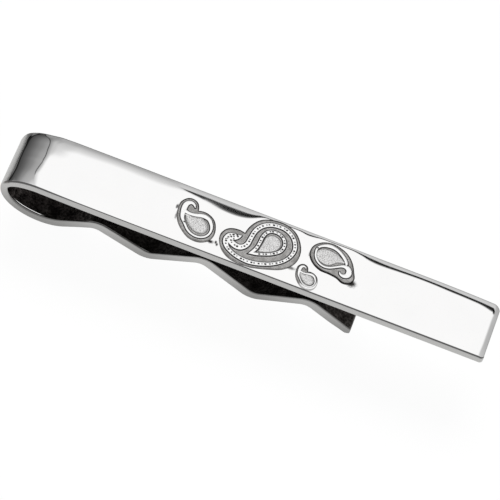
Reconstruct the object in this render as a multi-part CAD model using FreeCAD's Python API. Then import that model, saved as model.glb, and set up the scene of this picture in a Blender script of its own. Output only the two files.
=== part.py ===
"""A slide-on tie clip: a strip bent into a flat bar and a wavy spring leg, with raised paisley ornaments.

Lengths are in millimetres. X runs along the bar from the bend to the free end, Y across the bar and Z out
of its decorated face. The origin is the middle of the bar's back face, where the tie lies.
"""
import FreeCAD, Part
import math
import os

# Strip
clip_length = 58.0          # from the outside of the bend to the bar's free end
strip_width = 8.0
bar_thickness = 1.1
nose_thickness = 0.95       # at the outermost point of the bend
leg_thickness = 1.12
end_corner_radius = 0.5     # corners of the bar's free end, seen from the front
edge_radius = 0.12          # the polished long edges

# Bend, in reaches along X from its outermost point and drops below the bar's back face
bend_reach = 4.5            # where the bar's straight stretch ends
nose_drop = 1.25            # height of the outermost point
loop_reach = 5.2            # the loop's lowest point
loop_depth = 3.87           # clear height under the bar there

# Spring leg, in runs along X and drops below the bar's back face, to its corners before they are rounded
lift_run = 1.4              # from the loop's lowest point to the first corner
first_rise_run = 5.3
wave_run = 6.4              # from a crest to the next trough, and from a trough to the next crest
tip_run = 5.1
first_crest_drop = 1.08
second_crest_drop = 0.02
third_crest_drop = 0.28
trough_drop = 3.13
tip_drop = 2.82
wave_radius = 1.6           # inside each bend of the wave

# Tolerances
same_place = 1e-6           # points closer than this are one
straight_turn = 1e-6        # the sine of a turn that counts as none

# Ornaments: each one is a ground plate with a bright ribbon and a grained drop on it
ground_height = 0.15
ribbon_height = 0.1
drop_height = 0.07
pit_diameter = 0.2
pit_pitch = 0.45
pit_depth = 0.05

# Ornaments: the bulb's middle from the bar's middle, the length from there to the hook, the turn in degrees
left_x = -6.43
left_y = -1.02
left_length = 2.83
left_turn = 124.2
left_ribbon_width = 0.33
large_x = 2.19
large_y = 0.15
large_length = 4.23
large_turn = 191.7
large_ribbon_width = 0.5
large_ring_width = 0.4
right_x = 8.43
right_y = 1.45
right_length = 2.95
right_turn = -27.8
right_ribbon_width = 0.33
small_x = 7.33
small_y = -2.63
small_length = 1.625
small_turn = 122.2
small_ribbon_width = 0.2

# Outlines as shares of an ornament's length, along it from the bulb to the hook and across it to the left
notched_ground_shares = [
    (0.70, -0.24), (0.60, -0.48), (0.38, -0.67), (0.13, -0.75), (-0.18, -0.71), (-0.53, -0.54),
    (-0.75, -0.22), (-0.74, 0.14), (-0.50, 0.50), (-0.05, 0.70), (0.45, 0.74), (0.93, 0.59),
    (1.29, 0.31), (1.35, -0.10), (1.10, -0.32), (0.85, -0.30), (0.70, -0.24),
]
plain_ground_shares = [
    (0.44, 0.74), (0.07, 0.73), (-0.29, 0.61), (-0.61, 0.27), (-0.68, -0.10), (-0.53, -0.43),
    (-0.16, -0.64), (0.27, -0.65), (0.60, -0.50), (0.89, -0.40), (1.25, -0.36), (1.42, -0.19),
    (1.44, 0.03), (1.14, 0.37), (0.81, 0.61),
]
curl_ribbon_shares = [
    (0.90, -0.13), (1.04, -0.16), (1.15, -0.04), (1.10, 0.17), (0.88, 0.34), (0.54, 0.49),
    (0.12, 0.54), (-0.28, 0.41), (-0.50, 0.10), (-0.46, -0.26), (-0.20, -0.49), (0.16, -0.53),
    (0.40, -0.36), (0.57, -0.02), (0.76, 0.23),
]
curl_drop_shares = [
    (0.67, 0.32), (0.49, 0.13), (0.33, -0.26), (0.04, -0.40), (-0.26, -0.33), (-0.41, -0.08),
    (-0.29, 0.19), (0.03, 0.36), (0.39, 0.40), (0.67, 0.32),
]
large_ground_shares = [
    (0.77, -0.23), (0.63, -0.52), (0.39, -0.75), (0.04, -0.83), (-0.29, -0.78), (-0.58, -0.59),
    (-0.75, -0.27), (-0.79, 0.10), (-0.67, 0.43), (-0.41, 0.66), (0.05, 0.78), (0.53, 0.81),
    (0.90, 0.76), (1.24, 0.56), (1.41, 0.27), (1.42, -0.04), (1.26, -0.25), (0.96, -0.30), (0.77, -0.23),
]
large_ribbon_shares = [
    (0.89, -0.07), (0.97, -0.13), (1.12, -0.11), (1.25, 0.01), (1.29, 0.18), (1.20, 0.39), (1.00, 0.56),
    (0.71, 0.66), (0.36, 0.67), (0.02, 0.63), (-0.30, 0.49), (-0.52, 0.25), (-0.61, -0.01), (-0.57, -0.31),
    (-0.40, -0.54), (-0.14, -0.66), (0.17, -0.64), (0.41, -0.52), (0.56, -0.29), (0.62, -0.06),
    (0.70, 0.16), (0.87, 0.27), (1.02, 0.21), (1.09, 0.09),
]
large_ring_shares = [
    (0.42, 0.40), (0.25, 0.37), (-0.01, 0.30), (-0.26, 0.13), (-0.33, -0.10), (-0.24, -0.33),
    (-0.04, -0.43), (0.15, -0.39), (0.27, -0.23), (0.34, 0.00), (0.39, 0.15), (0.47, 0.30),
]
large_ring_tip_shares = [(0.63, 0.44), (0.46, 0.35)]
large_drop_shares = [
    (0.36, 0.30), (0.05, 0.25), (-0.17, 0.11), (-0.23, -0.09), (-0.13, -0.27), (0.03, -0.31),
    (0.17, -0.23), (0.25, -0.03), (0.36, 0.30),
]


def at(x, z):
    """A point of the strip's side outline: x from the outside of the bend, z from the bar's back face."""
    return FreeCAD.Vector(x - clip_length / 2, -strip_width / 2, z)


def unit(vector):
    """The vector's direction."""
    return FreeCAD.Vector(vector).normalize()


def line(start, end):
    """A straight edge."""
    return Part.LineSegment(start, end).toShape()


def arc(start, middle, end):
    """An edge along the circle through three points, or a straight one where they are in line."""
    turn = unit(middle - start).cross(unit(end - middle)).Length
    if turn < straight_turn:
        return line(start, end)
    return Part.Arc(start, middle, end).toShape()


def face_of(edges):
    """The flat face inside a closed outline."""
    return Part.Face(Part.Wire(Part.__sortEdges__(edges)))


def across_strip(edges):
    """A piece of the strip, from the edges of its side outline."""
    return face_of(edges).extrude(FreeCAD.Vector(0, strip_width, 0))


def round_long_edges(solid):
    """A piece of the strip with its edges rounded where its outline meets the two sides of the strip."""
    long_edges = []
    for edge in solid.Edges:
        box = edge.BoundBox
        on_a_side = box.YLength < same_place and math.isclose(abs(box.Center.y), strip_width / 2)
        if on_a_side and box.XLength > same_place:
            long_edges.append(edge)
    return solid.makeFillet(edge_radius, long_edges)


def front_bar():
    """The flat bar from the bend to the free end, whose two corners are rounded."""
    back_left = at(bend_reach, 0)
    bar = Part.makeBox(clip_length - bend_reach, strip_width, bar_thickness, back_left)
    free_end = at(clip_length, 0).x
    corners = []
    for edge in bar.Edges:
        box = edge.BoundBox
        if math.isclose(box.ZLength, bar_thickness) and math.isclose(box.XMin, free_end):
            corners.append(edge)
    bar = bar.makeFillet(end_corner_radius, corners)
    return round_long_edges(bar)


def quarter_ellipse(end, other_end, centre):
    """A quarter of an ellipse between the ends of its two half axes."""
    short, long = sorted((end, other_end), key=centre.distanceToPoint)
    return Part.ArcOfEllipse(Part.Ellipse(long, short, centre), 0, math.pi / 2).toShape()


def return_bend():
    """The hairpin at the closed end, between quarter ellipses outside and inside."""
    upper_centre = at(bend_reach, -nose_drop)
    lower_centre = at(loop_reach, -nose_drop)
    nose = at(0, -nose_drop)
    inner_nose = at(nose_thickness, -nose_drop)
    bar_top = at(bend_reach, bar_thickness)
    bar_back = at(bend_reach, 0)
    leg_top = at(loop_reach, -loop_depth)
    leg_bottom = at(loop_reach, -loop_depth - leg_thickness)
    edges = [
        line(bar_back, bar_top),
        quarter_ellipse(nose, bar_top, upper_centre),
        quarter_ellipse(nose, leg_bottom, lower_centre),
        line(leg_bottom, leg_top),
        quarter_ellipse(inner_nose, leg_top, lower_centre),
        quarter_ellipse(inner_nose, bar_back, upper_centre),
    ]
    return round_long_edges(across_strip(edges))


def leg_corners():
    """Corners of the leg's upper line, from the loop's lowest point to the tip."""
    x = loop_reach + lift_run
    corners = [at(loop_reach, -loop_depth), at(x, -loop_depth)]
    x += first_rise_run
    for drop in (first_crest_drop, trough_drop, second_crest_drop, trough_drop, third_crest_drop):
        corners.append(at(x, -drop))
        x += wave_run
    corners.append(at(x - wave_run + tip_run, -tip_drop))
    return corners


def up_from(direction):
    """The upward normal of a run of the leg."""
    return FreeCAD.Vector(-direction.z, 0, direction.x)


def leg_bend(before, corner, after, is_first):
    """One rounded corner of the leg, as three points on its upper line and three on its lower line."""
    inward = unit(corner - before)
    outward = unit(after - corner)
    half_turn = inward.getAngle(outward) / 2
    is_trough = outward.z > inward.z
    if is_first:
        upper_radius = lift_run / math.tan(half_turn)
    elif is_trough:
        upper_radius = wave_radius
    else:
        upper_radius = wave_radius + leg_thickness
    side = 1 if is_trough else -1
    trim = upper_radius * math.tan(half_turn)
    start = corner - inward * trim
    end = corner + outward * trim
    centre = start + up_from(inward) * (side * upper_radius)
    middle = centre + unit(corner - centre) * upper_radius
    upper = (start, middle, end)
    ups = (up_from(inward), up_from(unit(end - start)), up_from(outward))
    lower = tuple(point - up * leg_thickness for point, up in zip(upper, ups))
    return upper, lower


def leg_line(bends, tip):
    """The edges of one of the leg's two lines: its arcs, the straight runs between them and to the tip."""
    edges = []
    last = None
    for bend in bends:
        if last is not None:
            edges.append(line(last, bend[0]))
        edges.append(arc(*bend))
        last = bend[2]
    edges.append(line(last, tip))
    return edges


def spring_leg():
    """The wavy leg behind the bar, from the loop's lowest point to its rounded tip."""
    corners = leg_corners()
    bends = []
    for index in range(1, len(corners) - 1):
        bends.append(leg_bend(corners[index - 1], corners[index], corners[index + 1], index == 1))
    upper_tip = corners[-1]
    last_run = unit(corners[-1] - corners[-2])
    half_down = up_from(last_run) * (leg_thickness / 2)
    lower_tip = upper_tip - half_down * 2
    edges = leg_line([bend[0] for bend in bends], upper_tip)
    edges += leg_line([bend[1] for bend in bends], lower_tip)
    edges.append(arc(upper_tip, upper_tip - half_down + last_run * (leg_thickness / 2), lower_tip))
    edges.append(line(corners[0], corners[0] - FreeCAD.Vector(0, 0, leg_thickness)))
    return round_long_edges(across_strip(edges))


def outline_points(shares, place, length, turn, height):
    """Points of an ornament's outline, from its shares of the ornament's length."""
    along = FreeCAD.Vector(math.cos(math.radians(turn)), math.sin(math.radians(turn)), 0)
    across = FreeCAD.Vector(-along.y, along.x, 0)
    middle = FreeCAD.Vector(place[0], place[1], height)
    return [middle + along * (length * share) + across * (length * side) for share, side in shares]


def circle_direction(before, point, after):
    """The direction at the middle one of three points, along the circle through them."""
    step_in = point - before
    step_out = after - point
    return unit(unit(step_in) * step_out.Length + unit(step_out) * step_in.Length)


def mirrored(direction, chord):
    """The direction at the other end of a circle's chord."""
    axis = unit(chord)
    return axis * (2 * direction.dot(axis)) - direction


def path_directions(points, is_ring):
    """A direction at each point of a smooth path, which closes on its first point if it is a ring."""
    count = len(points)
    if is_ring:
        return [circle_direction(points[i - 1], points[i], points[(i + 1) % count]) for i in range(count)]
    inner = [circle_direction(points[i - 1], points[i], points[i + 1]) for i in range(1, count - 1)]
    first = mirrored(inner[0], points[1] - points[0])
    last = mirrored(inner[-1], points[-1] - points[-2])
    return [first] + inner + [last]


def arc_span(start, start_direction, end):
    """An arc that leaves a point in a given direction: its start, middle and end, each with its direction."""
    chord = end - start
    axis = unit(chord)
    forward = start_direction.dot(axis)
    bulge = (start_direction - axis * forward) * (chord.Length / 2 / (1 + forward))
    middle = start + chord / 2 + bulge
    return (start, start_direction), (middle, axis), (end, mirrored(start_direction, chord))


def two_arcs(start, start_direction, end, end_direction):
    """Two arcs that join two points smoothly, with the given directions at both."""
    chord = end - start
    both = start_direction + end_direction
    spread = 2 * (1 - start_direction.dot(end_direction))
    reach = chord.dot(both)
    if spread < straight_turn:
        handle = chord.dot(chord) / (2 * reach)
    else:
        handle = (math.sqrt(reach ** 2 + spread * chord.dot(chord)) - reach) / spread
    joint = (start + start_direction * handle + end - end_direction * handle) / 2
    first = arc_span(start, start_direction, joint)
    second = arc_span(joint, first[2][1], end)
    return [first, second]


def smooth_path(points, is_ring=False):
    """The arcs of a smooth path through points."""
    directions = path_directions(points, is_ring)
    count = len(points)
    spans = []
    for i in range(count if is_ring else count - 1):
        after = (i + 1) % count
        spans += two_arcs(points[i], directions[i], points[after], directions[after])
    return spans


def beside(point, direction, shift):
    """A point moved to the left of a path's direction."""
    return point + FreeCAD.Vector(-direction.y, direction.x, 0) * shift


def path_edges(spans, shift=0):
    """The edges of a path, or of the line that runs beside it at a distance."""
    return [arc(*(beside(point, direction, shift) for point, direction in span)) for span in spans]


def plate(edges, height):
    """A flat plate of a closed outline, standing up from it."""
    return face_of(edges).extrude(FreeCAD.Vector(0, 0, height))


def ribbon_plate(spans, width):
    """A ribbon of even width along an open path, with round ends."""
    half = width / 2
    first_point, first_direction = spans[0][0]
    last_point, last_direction = spans[-1][2]
    edges = path_edges(spans, half) + path_edges(spans, -half)
    ends = ((first_point, first_direction, -half), (last_point, last_direction, half))
    for point, direction, outward in ends:
        left = beside(point, direction, half)
        right = beside(point, direction, -half)
        edges.append(arc(left, point + direction * outward, right))
    return plate(edges, ribbon_height)


def pointed_outline(spans, shift, tip):
    """The outline beside a drop-shaped path, whose ends run straight on to a tip."""
    first = beside(*spans[0][0], shift)
    last = beside(*spans[-1][2], shift)
    return path_edges(spans, shift) + [line(last, tip), line(tip, first)]


def ring_plate(spans, width, outer_tip, inner_tip):
    """A ribbon of even width round a drop-shaped path, with its inside on the left, pointed on both sides."""
    outside = plate(pointed_outline(spans, -width / 2, outer_tip), ribbon_height)
    inside = plate(pointed_outline(spans, width / 2, inner_tip), ribbon_height)
    return outside.cut(inside)


def with_pits(ribbon, spans):
    """The ribbon with a row of small round pits in its top, evenly spaced along its path."""
    path = Part.Wire(Part.__sortEdges__(path_edges(spans)))
    count = round(path.Length / pit_pitch)
    top = ribbon.BoundBox.ZMax
    pits = []
    for point in path.discretize(Number=count)[1:-1]:
        floor = FreeCAD.Vector(point.x, point.y, top - pit_depth)
        pits.append(Part.makeCylinder(pit_diameter / 2, pit_depth, floor))
    return ribbon.cut(Part.makeCompound(pits))


def curl_ornament(place, length, turn, ribbon_width, ground_shares, ground_is_ring):
    """The three pieces of a hooked paisley ornament: ground, ribbon and drop."""
    top = bar_thickness + ground_height
    ground_points = outline_points(ground_shares, place, length, turn, bar_thickness)
    ribbon_points = outline_points(curl_ribbon_shares, place, length, turn, top)
    drop_points = outline_points(curl_drop_shares, place, length, turn, top)
    return {
        "ground": plate(path_edges(smooth_path(ground_points, ground_is_ring)), ground_height),
        "ribbon": ribbon_plate(smooth_path(ribbon_points), ribbon_width),
        "drop": plate(path_edges(smooth_path(drop_points)), drop_height),
    }


def large_ornament():
    """The four pieces of the large paisley ornament: ground, beaded outer ribbon, beaded ring and drop."""
    place = (large_x, large_y)
    top = bar_thickness + ground_height
    ground_points = outline_points(large_ground_shares, place, large_length, large_turn, bar_thickness)
    ribbon_path = smooth_path(outline_points(large_ribbon_shares, place, large_length, large_turn, top))
    ring_path = smooth_path(outline_points(large_ring_shares, place, large_length, large_turn, top))
    ring_tips = outline_points(large_ring_tip_shares, place, large_length, large_turn, top)
    drop_points = outline_points(large_drop_shares, place, large_length, large_turn, top)
    return {
        "ground": plate(path_edges(smooth_path(ground_points)), ground_height),
        "outer_ribbon": with_pits(ribbon_plate(ribbon_path, large_ribbon_width), ribbon_path),
        "inner_ribbon": with_pits(ring_plate(ring_path, large_ring_width, *ring_tips), ring_path),
        "drop": plate(path_edges(smooth_path(drop_points)), drop_height),
    }


def all_pieces():
    """Every piece of the clip by its node's name."""
    pieces = {"front_bar": front_bar(), "return_bend": return_bend(), "spring_leg": spring_leg()}
    ornaments = {
        "left_paisley": curl_ornament(
            (left_x, left_y), left_length, left_turn, left_ribbon_width, notched_ground_shares, False
        ),
        "large_paisley": large_ornament(),
        "right_paisley": curl_ornament(
            (right_x, right_y), right_length, right_turn, right_ribbon_width, plain_ground_shares, True
        ),
        "small_paisley": curl_ornament(
            (small_x, small_y), small_length, small_turn, small_ribbon_width, notched_ground_shares, False
        ),
    }
    for name, ornament in ornaments.items():
        for layer, shape in ornament.items():
            pieces[name + "_" + layer] = shape
    return pieces


os.makedirs("parts", exist_ok=True)
for node, shape in all_pieces().items():
    shape.exportStep("parts/" + node + ".step")
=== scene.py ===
import math
from collections import namedtuple
from functools import partial

import bmesh
import bpy
import numpy as np
from mathutils import Matrix, Vector, noise


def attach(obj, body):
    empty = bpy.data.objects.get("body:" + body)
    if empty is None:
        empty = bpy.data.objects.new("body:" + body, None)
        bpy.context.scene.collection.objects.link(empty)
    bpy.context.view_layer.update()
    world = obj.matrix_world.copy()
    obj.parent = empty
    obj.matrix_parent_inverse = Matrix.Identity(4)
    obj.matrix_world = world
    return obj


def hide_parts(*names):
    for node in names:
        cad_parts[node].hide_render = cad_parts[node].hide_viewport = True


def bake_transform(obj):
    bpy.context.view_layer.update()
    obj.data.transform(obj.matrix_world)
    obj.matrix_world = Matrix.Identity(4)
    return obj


# The looks of the tie clip: its strip, its four paisley ornaments, their finishes, the light and the camera.
# Lengths are in millimetres up to the meshes, which are in metres. Along the strip, X counts from the outside of the
# bend up to the meshes, where it counts from the middle of the bar.

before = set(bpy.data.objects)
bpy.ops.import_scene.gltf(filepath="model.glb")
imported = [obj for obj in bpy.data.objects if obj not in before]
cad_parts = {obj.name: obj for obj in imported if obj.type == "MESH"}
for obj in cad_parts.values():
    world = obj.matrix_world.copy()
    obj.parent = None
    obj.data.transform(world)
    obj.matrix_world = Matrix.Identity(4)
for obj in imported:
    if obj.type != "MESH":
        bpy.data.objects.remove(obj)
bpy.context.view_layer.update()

MM = 0.001

# Strip, as in the part's source
CLIP_LENGTH = 58.0
HALF_WIDTH = 4.0
BAR_THICKNESS = 1.1
NOSE_THICKNESS = 0.95
LEG_THICKNESS = 1.12
BEND_REACH = 4.5
NOSE_DROP = 1.25
LOOP_REACH = 5.2
LOOP_DEPTH = 3.87
LIFT_RUN = 1.4
FIRST_RISE_RUN = 5.3
WAVE_RUN = 6.4
TIP_RUN = 5.1
CREST_DROPS = (1.08, 0.02, 0.28)
TROUGH_DROP = 3.13
TIP_DROP = 2.82
WAVE_RADIUS = 1.6

# Edges as polished: the near ones are rounder towards both ends, the far edge tapers in a little at the free end and
# is cut round at the bend. An edge takes EDGE_LIMIT of the thickness at most. A painted dark line, standing for a
# dark reflection, runs along both edges of the face, on the far one with the strengths given for places along the
# strip
NEAR_EDGE_RADII = ((0, 0.26), (3.5, 0.25), (9, 0.13), (15, 0.12), (45, 0.2), (58, 0.22))
END_EDGE_RADIUS = 0.12
FAR_EDGE_RADIUS = 0.08
BEND_EDGE_RADIUS = 0.18
BEND_EDGE_FADE = (4.8, 3.0)
EDGE_LIMIT = 0.45
NEAR_CORNER_RADIUS = 0.4
FAR_CORNER_RADIUS = 0.95
FAR_BEND_RADIUS = 1.2
FAR_BEND_OVERSHOOT = 0.06
FAR_TAPER = 0.18
FAR_TAPER_RUN = 8.0
FAR_LINE = ((0.9, 0), (1.6, 0.8), (14, 0.76), (21, 0.45), (30, 0.22), (58, 0.22))
FAR_LINE_WIDTH = 0.06
NEAR_LINE = 0.8
NEAR_LINE_FADE = (0.1, 0.5)

# Satin round the nose, in a grey painted for a dark reflection: its strength, where it ends on the face, how far that
# line moves out with the cut corner and how soft it is. Then the turns of an edge, in radians, between which its
# satin with painted grey starts and its painted dark lines end
NOSE_SATIN_AND_SHADE = 0.85
NOSE_SATIN_END = 0.88
NOSE_SATIN_BULGE = 0.6
NOSE_SATIN_SOFTNESS = 0.2
SATIN_TURNS = (1.15, 1.45)
LINE_TURNS = (0.6, 1.6)
# The turns over which the inner edges' painted shade ends, and where along the bar the painted shade on its inner
# face fades in towards the bend
INNER_TURNS = (0.0, 0.625)
INSIDE_FADE = (10.0, 5.0)

# Leg as bent: its lower line lags behind its upper one, and a fine bright bead runs beside its upper near edge
LEG_LAG = 0.3
LAG_FADES = ((6.0, 10.0), (42.4, 40.9))
BEAD_HEIGHT = 0.08
BEAD_RISE = 3
BEAD = (
    (0.9, 0), (1.5, 0.8), (2.2, 1), (5.2, 1), (6, 0), (10.4, 0), (11.2, 0.35), (16.4, 0.2), (17, 0.5), (17.9, 0.4),
    (18.5, 0),
)
BEAD_FOOT = -0.994
BEAD_TOP = -0.9863

# Polished-over far edge: place along the strip, then where across it the face starts to roll off and where it reaches
# the first and the second of the roll's tilts, in degrees. Past the second it steps to the tilts of the dark band
EDGE_ROLL = np.array([
    (7, 2.15, 2.72, 3.25), (9, 2.3, 2.82, 3.3), (11, 2.45, 2.93, 3.35), (13, 2.42, 2.9, 3.33), (15, 2.35, 2.85, 3.3),
    (17, 2.35, 2.85, 3.3), (18.2, 2.44, 2.95, 3.33), (19, 2.58, 3.05, 3.3), (19.8, 2.75, 3.07, 3.27),
    (20.6, 2.7, 2.99, 3.28), (22.5, 2.38, 2.74, 3.32), (24, 2.02, 2.44, 3.29), (25, 1.92, 2.34, 3.28),
    (26.4, 1.97, 2.36, 3.28), (27.3, 2.16, 2.55, 3.29), (28.2, 2.62, 2.94, 3.44), (28.7, 2.95, 3.24, 3.58),
    (29.2, 3.2, 3.48, 3.6), (29.8, 3.38, 3.55, 3.62), (31, 3.42, 3.57, 3.63), (32.7, 3.4, 3.55, 3.63),
    (33.7, 3.3, 3.53, 3.65), (34.5, 3.15, 3.38, 3.57), (35.2, 3.2, 3.43, 3.6), (36, 3.4, 3.57, 3.67),
    (37.5, 3.45, 3.62, 3.69), (39, 3.45, 3.63, 3.71), (40, 3.4, 3.62, 3.73), (41, 3.2, 3.45, 3.65),
    (42, 2.88, 3.18, 3.57), (43, 2.72, 3.06, 3.5), (44, 2.77, 3.07, 3.46), (46, 2.92, 3.17, 3.48),
    (48, 2.99, 3.25, 3.53), (49.5, 3, 3.25, 3.53), (52, 2.9, 3.15, 3.48), (54, 2.82, 3.09, 3.41),
    (56, 2.62, 2.92, 3.33), (57, 2.27, 2.66, 3.25), (57.8, 2.1, 2.52, 3.15),
])
ROLL_TILTS = (1.65, 2.8)
BAND_STEP = 0.04
BAND_TILTS = (2.95, 4.4)
ROLL_MIDDLE = ((22, 2.9), (28.5, 3.5), (30, 3.5), (36, 2.9))
LEVEL_FADE = (9.0, 14.0)
LEVEL_ACROSS = (0.8, 2.2)
NOSE_ROLL_FADE = (0.02, 1.02)
NEAR_ROLL_START = 1.7
NEAR_ROLL_TILT = 4.2
END_ROLL_X = (57.15, 57.75)
END_ROLL_TILT = 10.0

# On the bend the face rolls off earlier, its far edge is rounder and it is twisted a little: tilts in degrees and
# heights in millimetres, for places across the strip
BEND_ROLL = (
    (-0.4, 0), (0.42, 0.3), (0.92, 0.85), (1.22, 1.4), (1.52, 1.9), (1.92, 2.3), (2.42, 2.5), (2.82, 2.65), (3.2, 3),
    (4, 4.4),
)
BEND_ROLL_FADE = (6.9, 4.2)
BEND_EDGE_ROLL = ((2.5, 0), (2.82, 0.7), (3.12, 2.4), (3.32, 4.6), (3.52, 8.5), (4, 12))
BEND_EDGE_ROLL_FADE = (4.9, 3.0)
BEND_TWIST = (
    (-4, 0.05), (-3, 0.052), (-2, 0.046), (-1.28, 0.028), (-0.88, 0.016), (-0.48, 0.006), (0, 0), (0.5, -0.01),
    (1.4, -0.016), (2, -0.017), (2.6, -0.012), (4, 0),
)
BEND_TWIST_FADES = ((4.4, 2.2), (0.3, 2.0))

# Fineness of the strip: lines along its faces as shares of the reach to each side, then steps and numbers of stations
BAR_LINES = np.concatenate(((1.0, 0.9965, 0.993), np.arange(0.9895, -0.2, -0.0105), np.arange(-0.2, -0.75, -0.03),
                            np.linspace(-0.76, -1.0, 12)))
BAR_INNER_LINES = np.linspace(-1.0, 1.0, 17)
LEG_LINES = np.linspace(1.0, -1.0, 21)
LEG_INNER_LINES = np.concatenate(((-1.0, -0.9975, BEAD_FOOT, BEAD_TOP, -0.983, -0.95), np.linspace(-0.9, 1.0, 20)))
EDGE_STEPS = 12
SIDE_ROWS = (0.33, 0.67)
FAR_SIDE_START = 1.3
ROLL_STEPS = 1600
END_ROLL_STEPS = 60
END_TURNS = (90, 76, 62, 48, 34, 20, 8)
END_RUN = 1.4
END_STEP = 0.05
BAR_STATIONS = 320
UPPER_BEND_STATIONS = 110
LOWER_BEND_STATIONS = 70
NOSE_STEP = 0.001
LEG_STEP = 0.5
WAVE_STATIONS = 22
TIP_STATIONS = 8
TIP_TURNS = (8, 18, 28, 38, 48, 58, 68, 77, 84)
MERGE_DISTANCE = 1e-8
SHARP_ANGLE = 0.7

# Ornaments: the ground plate, the ribbons on it with their dark skirts, pits and nicks, and the grained drops. The
# BANDs are the spacing of a ribbon's rows and the points across its crown, the WEARs where along the ornament the
# rubbing starts and is full
GROUND_HEIGHT = 0.15
GROUND_STEP = 0.05
GROUND_RIM = 0.06
GROUND_RIM_GROWTH = 0.07
GROUND_WEAR = (0.05, -0.45)
RIBBON_HEIGHT = 0.1
RIBBON_WEAR = (-0.1, -0.45)
PLAIN_BAND = (0.04, 7)
PITTED_BAND = (0.028, 19)
RING_CROWN_POINTS = 15
ROUND_END_ROWS = 13
RING_TIP_ROWS = 24
FULL_EDGE_HALF = 0.08
SKIRT = 0.16
SKIRT_LENGTH = 2.8
PIT_RADIUS = 0.11
PIT_PITCH = 0.42
PIT_DEPTH = 0.05
PIT_CORE = 0.65
PIT_SOFTNESS = 0.5
PIT_DRIFT = 0.15
PIT_DRIFT_TURN = 2.4
PIT_SIZES = (1.0, 0.75, 0.95, 0.6, 1.1, 0.8, 0.65)
NICK_RADIUS = 0.11
NICK_DEPTH = 0.01
DROP_STEP = 0.045
DROP_HEIGHT = 0.056
DROP_CROWN = 0.004
DROP_MIDDLE = 0.002
FEWEST_STEPS = 8
GRAIN_SCALE = 12.0
GRAIN_HEIGHT = 0.009

# Outlines in hundredths of the ornament's length, along from the bulb to the hook and across to the left
NOTCHED_GROUND = [
    (70, -24), (60, -48), (38, -67), (13, -75), (-18, -71), (-53, -54), (-75, -22), (-74, 14), (-50, 50), (-5, 70),
    (45, 74), (93, 59), (129, 31), (135, -10), (110, -32), (85, -30), (70, -24),
]
PLAIN_GROUND = [
    (44, 74), (7, 73), (-29, 61), (-61, 27), (-68, -10), (-53, -43), (-16, -64), (27, -65), (60, -50), (89, -40),
    (125, -36), (142, -19), (144, 3), (114, 37), (81, 61),
]
LARGE_GROUND = [
    (77, -23), (63, -52), (39, -75), (4, -83), (-29, -78), (-58, -59), (-75, -27), (-79, 10), (-67, 43), (-41, 66),
    (5, 78), (53, 81), (90, 76), (124, 56), (141, 27), (142, -4), (126, -25), (96, -30), (77, -23),
]
CURL_DROP = [(67, 32), (49, 13), (33, -26), (4, -40), (-26, -33), (-41, -8), (-29, 19), (3, 36), (39, 40), (67, 32)]
LARGE_DROP = [(36, 30), (5, 25), (-17, 11), (-23, -9), (-13, -27), (3, -31), (17, -23), (25, -3), (36, 30)]

# Ribbons from the tip of the hook, with their width as a third number; they end inside their own hook
CURL_RIBBON = [
    (83, -12.5, 3), (90, -13, 7), (100, -12.5, 10), (109, -7, 13), (112.5, 4, 16), (109, 16, 18), (99, 26.5, 19),
    (85, 35.5, 19), (68, 45, 16.5), (48, 52.5, 13.5), (27, 52.5, 10), (8, 51, 9.5), (-12, 48.5, 9.5), (-32, 40, 9.5),
    (-48, 25.5, 9), (-56.5, 8, 8.5), (-57.5, -10, 8.5), (-50, -29, 8.5), (-36, -43, 9), (-18, -52, 11), (3, -55, 13),
    (20, -53, 15), (34, -43, 17), (43, -28, 16), (48, -10, 14), (54, 6, 13), (63, 20, 13), (74, 31, 14), (84, 37, 12),
]
PLAIN_RIBBON = [
    (81, -12, 3), (87, -16.5, 8), (97, -17.5, 12), (107, -12, 16), (112, -1, 19), (109, 11, 20), (100, 21, 19),
    (88, 24.5, 18), (76, 20, 14), (67, 10, 10), (60, -3, 9), (52, -18, 9), (42, -33, 9), (29, -43.5, 9),
    (10, -48.5, 9), (-10, -45.5, 9), (-26, -37, 8.5), (-38, -25, 8), (-47, -10, 8), (-49.5, 4, 9), (-46, 16, 10),
    (-37, 31, 13), (-24, 43, 15), (-6, 50.5, 13), (14, 53, 12.5), (34, 51, 12), (53, 46, 12), (67, 39.5, 11),
    (77, 31, 9),
]
LARGE_RIBBON = [
    (86, -9, 4), (92, -5.5, 12), (102, -2, 20), (113, 0, 24), (122, 8, 20), (125.5, 20, 16), (121.5, 34, 12.5),
    (110, 47, 11.5), (95, 57.5, 11.5), (78, 65, 12), (58, 70, 13), (38, 70.5, 12.5), (18, 68, 11.5), (-2, 63, 10.5),
    (-20, 55, 10), (-38, 43, 9.5), (-51, 28, 10), (-59, 12, 10.5), (-62, -4, 11), (-60, -20, 11), (-54, -36, 11.5),
    (-43, -50, 12), (-28, -60, 12.5), (-9, -64.5, 12.5), (11, -64, 13), (28, -57.5, 13), (42, -45.5, 13),
    (51, -32, 12.5), (57, -16, 12), (62, 0, 12.5), (67, 14, 13.5), (76, 24, 15), (87, 28.5, 17), (98, 26.5, 17.5),
    (108, 20, 17), (117, 12, 14),
]
LARGE_HOOK_PITS = [(97, -9), (105, 6), (112, 12), (116, -6), (107, -8), (120, 3), (126, 10)]
LARGE_RING = [
    (42, 40), (25, 37), (-1, 30), (-26, 13), (-33, -10), (-24, -33), (-4, -43), (15, -39), (27, -23), (34, 0),
    (39, 15), (47, 30),
]
LARGE_RING_TIPS = [(63, 44), (46, 35)]
LARGE_RING_WIDTH = 9.5
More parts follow.
